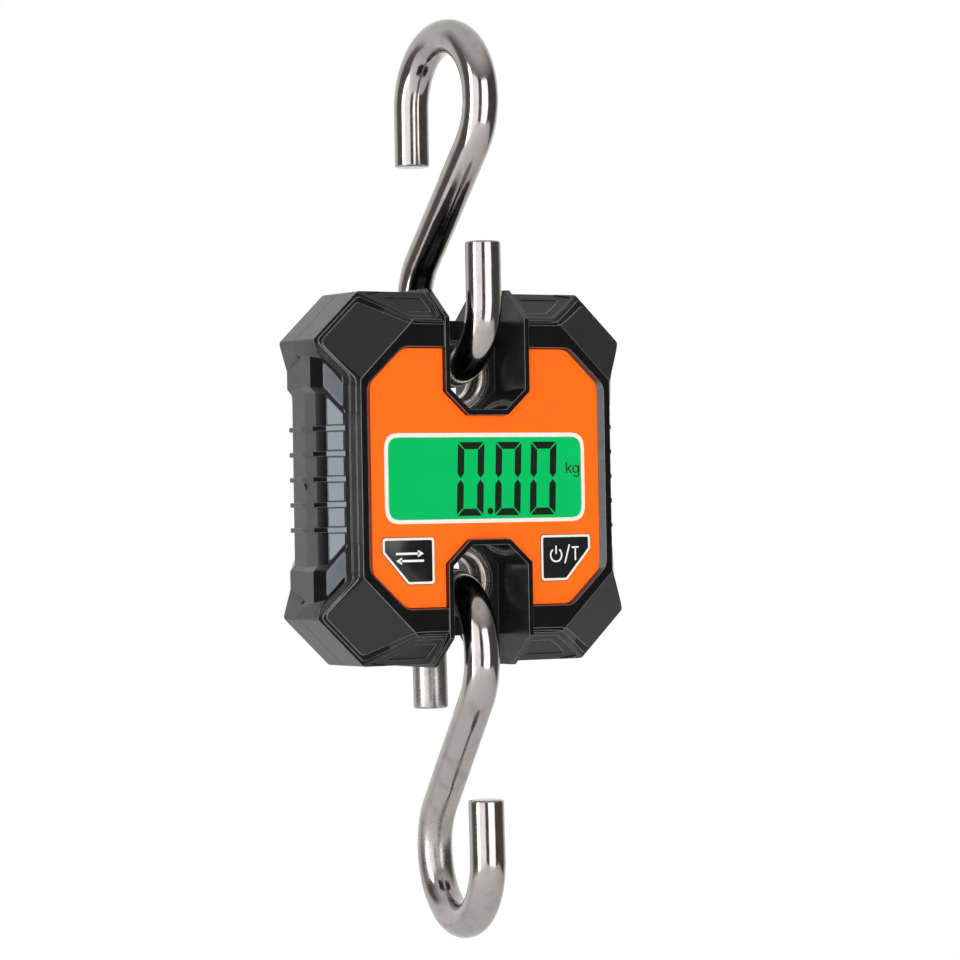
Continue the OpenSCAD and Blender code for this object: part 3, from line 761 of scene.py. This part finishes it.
def inset(points, d):
    """Convex outline moved inwards by d."""
    pts = [Vector(p) for p in points]
    centre = sum(pts, Vector((0, 0))) / len(pts)
    lines = []
    for i, p in enumerate(pts):
        q = pts[(i + 1) % len(pts)]
        n = Vector((-(q - p).y, (q - p).x)).normalized()
        n = n if n.dot(centre - p) > 0 else -n
        lines.append((p + n * d, (q - p).normalized()))
    out = []
    for i, (p, u) in enumerate(lines):
        a, v = lines[i - 1]
        t = (p - a).cross(u) / v.cross(u)
        out.append(tuple(a + v * t))
    return out


def ring_piece(outer, inner, y0, y1):
    return cut(prism(outer, y0, y1), prism(inner, y0 - 1, y1 + 1))


def label():
    plate = prism(rounded(quarters([(26.64, 35.9), (37.2, 26.14)]), LABEL_R), LABEL_Y, PANEL_Y)
    cut(plate, *two(prism(notch_outline(NOTCH_WALL + 0.1), -30, 0), "Z"))
    cut(plate, prism(rounded(grown_window(0), 3.3), -30, 0))
    cut(plate, *two(prism(rounded(inset(KEY, -0.15), 1.0), -30, 0), "X"))
    soften(plate, 0.06, segments=2)
    place(plate, "face_label", "casing", "orange", ["face_overlay"])


def segment_digit(x0, x1, z0, z1, thick=2.15, gap=0.22, lean=0.038):
    """The six outer segments of a seven-segment figure, mitred, as (x, z) outlines."""
    mid = (z0 + z1) / 2
    t, h = thick, thick * 0.93
    top = [(x0 + gap * 1.6, z1), (x1 - gap * 1.6, z1), (x1 - t - gap * 0.2, z1 - h),
           (x0 + t + gap * 0.2, z1 - h)]
    left = [(x0, z1 - gap * 1.6), (x0 + t, z1 - h - gap * 1.3), (x0 + t, mid + gap + 1.3),
            (x0 + t / 2, mid + gap), (x0, mid + gap + 1.3)]
    out = [top, [(x, 2 * mid - z) for x, z in top], left]
    out.append([(x, 2 * mid - z) for x, z in left])
    out.append([(x0 + x1 - x, z) for x, z in left])
    out.append([(x0 + x1 - x, 2 * mid - z) for x, z in left])
    return [[(x + lean * (z - mid), z) for x, z in o] for o in out]


def ribbon(points, width):
    """Stroke of even width along points, with square ends, as one outline."""
    pts = [Vector(p) for p in points]
    left, right = [], []
    for i, p in enumerate(pts):
        d = (pts[min(i + 1, len(pts) - 1)] - pts[max(i - 1, 0)]).normalized()
        n = Vector((-d.y, d.x)) * width / 2
        left.append(tuple(p + n))
        right.append(tuple(p - n))
    return left + right[::-1]


def arc(x, z, r, a0, a1, n=20):
    return [(x + r * math.cos(math.radians(a0 + (a1 - a0) * k / n)),
             z + r * math.sin(math.radians(a0 + (a1 - a0) * k / n))) for k in range(n + 1)]


def display():
    y = LABEL_Y + 0.07
    lit = prism(rounded(grown_window(-0.05), 3.25), y, INNER_Y - 0.2)
    soften(lit, 0.05, segments=2)
    place(lit, "display_field", "casing", "green", ["display_lens"])
    x0, x1, z0, z1 = BORDER
    border = ring_piece(rounded([(x0, z0), (x1, z0), (x1, z1), (x0, z1)], 4.4),
                        rounded(grown_window(0.0), 3.3), LABEL_Y - 0.05, LABEL_Y + 0.02)
    place(border, "display_border", "casing", "white")
    shapes = []
    for x0, x1 in ((-9.75, -0.62), (2.66, 11.58), (14.24, 23.26)):
        shapes += segment_digit(x0 + 0.15, x1 - 0.3, -10.75, 9.85)
    shapes.append(circle(1.05, -9.5, 0.95, 32))
    place(printed(shapes, y), "display_figures", "casing", "ink")
    mark = printed([ribbon([(26.5, 0.9), (26.5, 4.1)], 0.5), ribbon([(28.15, 3.1), (26.7, 2.0)], 0.48),
                    ribbon([(27.1, 2.2), (28.3, 0.9)], 0.5),
                    ribbon([(30.65, 3.1), (30.65, 0.9)] + arc(29.75, 0.85, 0.9, 0, -150, 10), 0.46)], y)
    bowl = ring_piece(circle(29.65, 2.05, 1.15, 32), circle(29.65, 2.05, 0.7, 32),
                      y - PRINT_PROUD, y + PRINT_UNDER)
    place(joined([mark, bowl]), "display_unit", "casing", "ink_soft")


def key(name, sign, shapes):
    """Key cap with its printed outline and mark; sign is 1 on the right, -1 on the left."""
    face = LABEL_Y - 0.05
    cap = prism(rounded(KEY, 0.9), face, INNER_Y - 0.6)
    soften(cap, 0.08, segments=2)
    edge = ring_piece(rounded(inset(KEY, 0.02), 0.95), rounded(inset(KEY, 0.68), 0.6),
                      face - PRINT_PROUD, face + PRINT_UNDER)
    mark = printed(shapes, face)
    if sign < 0:
        cap, edge = [flipped(o) for o in (cap, edge)]
    place(cap, name + "_cap", name, "key", [name])
    place(edge, name + "_outline", name, "white")
    place(mark, name + "_mark", name, "mark")


def flipped(obj):
    copy = mirrored(obj, "X")
    bpy.data.objects.remove(obj)
    return copy


def keys():
    w = 0.46
    power = [ribbon(arc(22.5, -22.2, 1.85, 126, 414, 32), w), ribbon([(22.5, -19.6), (22.5, -21.9)], w),
             ribbon([(25.4, -24.6), (27.0, -19.3)], w), ribbon([(27.8, -20.1), (30.1, -20.1)], w),
             ribbon([(28.95, -20.2), (28.95, -23.8)], w)]
    key("power_key", 1, power)
    swap = []
    for x0, x1, z in ((-29.8, -20.9, -20.9), (-20.9, -29.8, -22.9)):
        s = 1 if x1 > x0 else -1
        swap += [ribbon([(x0, z), (x1 - s * 1.4, z)], 0.62),
                 [(x1 - s * 1.9, z + 1.0), (x1, z), (x1 - s * 1.9, z - 1.0)]]
    key("unit_key", -1, swap)


# ---------------------------------------------------------------- hooks and eyes

def hook_path():
    lean = math.asin(2 * LOOP_R / (FAR_Z - NEAR_Z))
    pts = [(0, LOOP_R, FAR_Z - TIP + d) for d in (0, 0.12, 0.3, 0.6)]
    pts += [(0, LOOP_R, FAR_Z - TIP + d) for d in (4, 8, 12)]
    n = 44
    for k in range(n + 1):
        a = (math.pi + lean) * k / n
        pts.append((0, LOOP_R * math.cos(a), FAR_Z + LOOP_R * math.sin(a)))
    a, b = Vector(pts[-1]), Vector((0, LOOP_R * math.cos(lean), NEAR_Z + LOOP_R * math.sin(lean)))
    pts += [tuple(a.lerp(b, k / 8)) for k in range(1, 8)]
    for k in range(n + 1):
        t = lean - (math.pi + lean) * k / n
        pts.append((0, LOOP_R * math.cos(t), NEAR_Z + LOOP_R * math.sin(t)))
    pts += [(0, -LOOP_R, NEAR_Z + TIP - d) for d in (12, 8, 4)]
    pts += [(0, -LOOP_R, NEAR_Z + TIP - d) for d in (0.6, 0.3, 0.12, 0)]
    edge = [ROD_R - 0.6, ROD_R - 0.3, ROD_R - 0.1, ROD_R]
    return pts, edge + [ROD_R] * (len(pts) - 8) + edge[::-1]


def hooks():
    points, radii = hook_path()
    to_lower = (Matrix.Translation((0, 0, -EYE_Z)) @ Matrix.Rotation(-LOWER_LEAN, 4, "Y")
                @ Matrix.Translation((0, 0, EYE_Z)) @ Matrix.Rotation(-LOWER_TURN, 4, "Z")
                @ Matrix.Rotation(math.pi, 4, "X"))
    for name, move in (("upper_hook", Matrix.Identity(4)), ("lower_hook", to_lower)):
        rod = tube(points, radii, 56)
        rod.data.transform(move)
        rod.data.shade_smooth()
        rod.data.set_sharp_from_angle(angle=math.radians(35))
        place(rod, name + "_rod", name, "hook", [name])


def eyes():
    flare = BUSH_Y - 0.8
    half = [(EYE_R, 0.0)] + [(EYE_R + flare * (1 - math.cos(a)), 0.8 + flare * math.sin(a))
                             for a in [math.radians(8.0 * k) for k in range(9)]]
    half += [(8.62, 3.62), (8.72, BUSH_Y), (BUSH_R, BUSH_Y)]
    profile = half + [(r, -y) for r, y in half[:0:-1]]
    groove = [(9.05, 3.4), (9.05, 3.62), (9.3, 3.62), (9.36, 3.5), (9.5, 3.5), (9.56, 3.7), (10.0, 3.7),
              (10.1, 3.6), (10.1, 3.4)]
    for name, z in (("upper", EYE_Z), ("lower", -EYE_Z)):
        M["turned_" + name] = turned_steel("turned_" + name, z)
        bush = lathe(profile, z)
        bush.data.shade_smooth()
        bush.data.set_sharp_from_angle(angle=math.radians(30))
        place(bush, name + "_bush", "casing", "turned_" + name, [name + "_eye_bush"])
        faces = joined([lathe(groove, z), lathe([(r, -y) for r, y in groove], z)])
        faces.data.shade_smooth()
        faces.data.set_sharp_from_angle(angle=math.radians(30))
        place(faces, name + "_eye_facing", "casing", "turned_" + name)


NODE_FINISH = {
    "lcd_glass": "glass", "lcd_backlight": "diffuser", "lcd_frame": "diffuser", "lcd_strips": "strip",
    "main_board": "board", "control_chip": "moulded", "unit_switch": "moulded",
    "power_switch": "moulded", "board_screws": "zinc", "load_cell": "cell", "strain_gauges": "foil",
    "gauge_sealant": "sealant", "cell_cable": "cable", "cell_blocks": "moulded",
    "cell_screws": "zinc", "battery_tray": "moulded", "batteries": "wrap",
    "battery_springs": "nickel", "battery_plates": "nickel", "battery_lead_red": "red",
    "battery_lead_black": "black", "shell_screws": "zinc",
}


def finish_nodes():
    for node, key in NODE_FINISH.items():
        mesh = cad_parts[node].data
        mesh.materials.clear()
        mesh.materials.append(M[key])


# ---------------------------------------------------------------- studio

def camera():
    """At the photograph's viewing angle."""
    scene = bpy.context.scene
    back = Vector((math.sin(AZIMUTH) * math.cos(ELEVATION), -math.cos(AZIMUTH) * math.cos(ELEVATION),
                   math.sin(ELEVATION)))
    right = Vector((0, 0, 1)).cross(back).normalized()
    up = back.cross(right)
    c, s = math.cos(ROLL), math.sin(ROLL)
    right, up = c * right + s * up, c * up - s * right
    obj = bpy.data.objects.new("camera", bpy.data.cameras.new("camera"))
    scene.collection.objects.link(obj)
    obj.data.lens, obj.data.sensor_width = LENS, 36
    obj.data.clip_start, obj.data.clip_end = 0.05, 200
    obj.rotation_mode = "QUATERNION"
    obj.rotation_quaternion = Matrix((right, up, back)).transposed().to_quaternion()
    obj.location = AIM + back * DISTANCE
    scene.camera = obj
    scene.view_settings.view_transform = "Standard"


def pale_floor():
    """Small enough that no horizon shows behind the hanging scale."""
    floor = bpy.data.objects.new("floor", bpy.data.meshes.new("floor"))
    size, level = 0.75, -0.3
    floor.data.from_pydata([(-size, -size, level), (size, -size, level), (size, size, level),
                            (-size, size, level)], [], [(0, 1, 2, 3)])
    bpy.context.scene.collection.objects.link(floor)
    pale = Finish("floor_pale", (0.93, 0.93, 0.93), 0.8)
    pale.vary_color(3, (0.9, 0.9, 0.9))
    floor.data.materials.append(pale.mat)


# Brightness of the studio wall by bearing, in degrees from the camera's side
WALL = [(-180, 1.0), (-116, 1.0), (-106, 0.2), (-74, 0.14), (-60, 0.14), (55, 0.12), (95, 0.12),
        (120, 0.14), (130, 0.5), (138, 1.0), (180, 1.0)]
CEILING_FROM, CEILING_FULL, CEILING = 0.42, 0.85, 0.9     # heights of its blend, and its brightness


def surround():
    """Studio wall and ceiling that the gloss reflects; the camera itself sees plain white."""
    world = bpy.data.worlds.new("studio")
    world.use_nodes = True
    tree = world.node_tree
    bpy.context.scene.world = world

    def add(kind, **values):
        node = tree.nodes.new(kind)
        for key, value in values.items():
            setattr(node, key, value)
        return node

    link = tree.links.new
    turn = add("ShaderNodeVectorRotate", rotation_type="Z_AXIS")
    turn.inputs["Angle"].default_value = -AZIMUTH
    link(add("ShaderNodeTexCoord").outputs["Generated"], turn.inputs["Vector"])
    split = add("ShaderNodeSeparateXYZ")
    link(turn.outputs["Vector"], split.inputs["Vector"])
    minus = add("ShaderNodeMath", operation="MULTIPLY")
    minus.inputs[1].default_value = -1
    link(split.outputs["Y"], minus.inputs[0])
    bearing = add("ShaderNodeMath", operation="ARCTAN2")
    link(split.outputs["X"], bearing.inputs[0])
    link(minus.outputs[0], bearing.inputs[1])
    share = add("ShaderNodeMapRange")
    share.inputs["From Min"].default_value, share.inputs["From Max"].default_value = -math.pi, math.pi
    link(bearing.outputs[0], share.inputs["Value"])
    ramp = add("ShaderNodeValToRGB")
    stops = ramp.color_ramp.elements
    while len(stops) < len(WALL):
        stops.new(0.5)
    for stop, (angle, value) in zip(stops, WALL):
        stop.position, stop.color = (angle + 180) / 360, (value, value, value, 1)
    link(share.outputs["Result"], ramp.inputs["Fac"])
    sky = add("ShaderNodeMapRange")
    sky.inputs["From Min"].default_value, sky.inputs["From Max"].default_value = CEILING_FROM, CEILING_FULL
    link(split.outputs["Z"], sky.inputs["Value"])
    mix = add("ShaderNodeMix", data_type="RGBA")
    link(sky.outputs["Result"], mix.inputs["Factor"])
    link(ramp.outputs["Color"], mix.inputs["A"])
    mix.inputs["B"].default_value = (CEILING, CEILING, CEILING, 1)
    shine = tree.nodes["Background"]
    shine.inputs["Strength"].default_value = 1.03
    link(mix.outputs["Result"], shine.inputs["Color"])
    plain = add("ShaderNodeBackground")
    plain.inputs["Color"].default_value = (1, 1, 1, 1)
    choose = add("ShaderNodeMixShader")
    link(add("ShaderNodeLightPath").outputs["Is Camera Ray"], choose.inputs["Fac"])
    link(shine.outputs["Background"], choose.inputs[1])
    link(plain.outputs["Background"], choose.inputs[2])
    link(choose.outputs["Shader"], tree.nodes["World Output"].inputs["Surface"])


def softbox(name, bearing, distance, width, height, radiance):
    """Area light round the object: bearing is from the camera's side, positive to its right."""
    light = bpy.data.lights.new(name, "AREA")
    light.shape, light.size, light.size_y = "RECTANGLE", width, height
    light.energy = radiance * math.pi * width * height
    obj = bpy.data.objects.new(name, light)
    a = AZIMUTH + math.radians(bearing)
    obj.location = AIM + distance * Vector((math.sin(a), -math.cos(a), 0))
    obj.rotation_mode = "QUATERNION"
    obj.rotation_quaternion = (obj.location - AIM).to_track_quat("Z", "Y")
    bpy.context.scene.collection.objects.link(obj)


front_shell()
rear_shell()
battery_cover()
label()
display()
keys()
hooks()
eyes()
finish_nodes()
camera()
pale_floor()
surround()
softbox("key_left", -57, 1.0, 0.3, 1.3, 7.0)
softbox("wide_left", -28, 1.05, 0.72, 1.3, 2.0)
softbox("fill_right", 32, 1.15, 0.85, 1.4, 3.0)
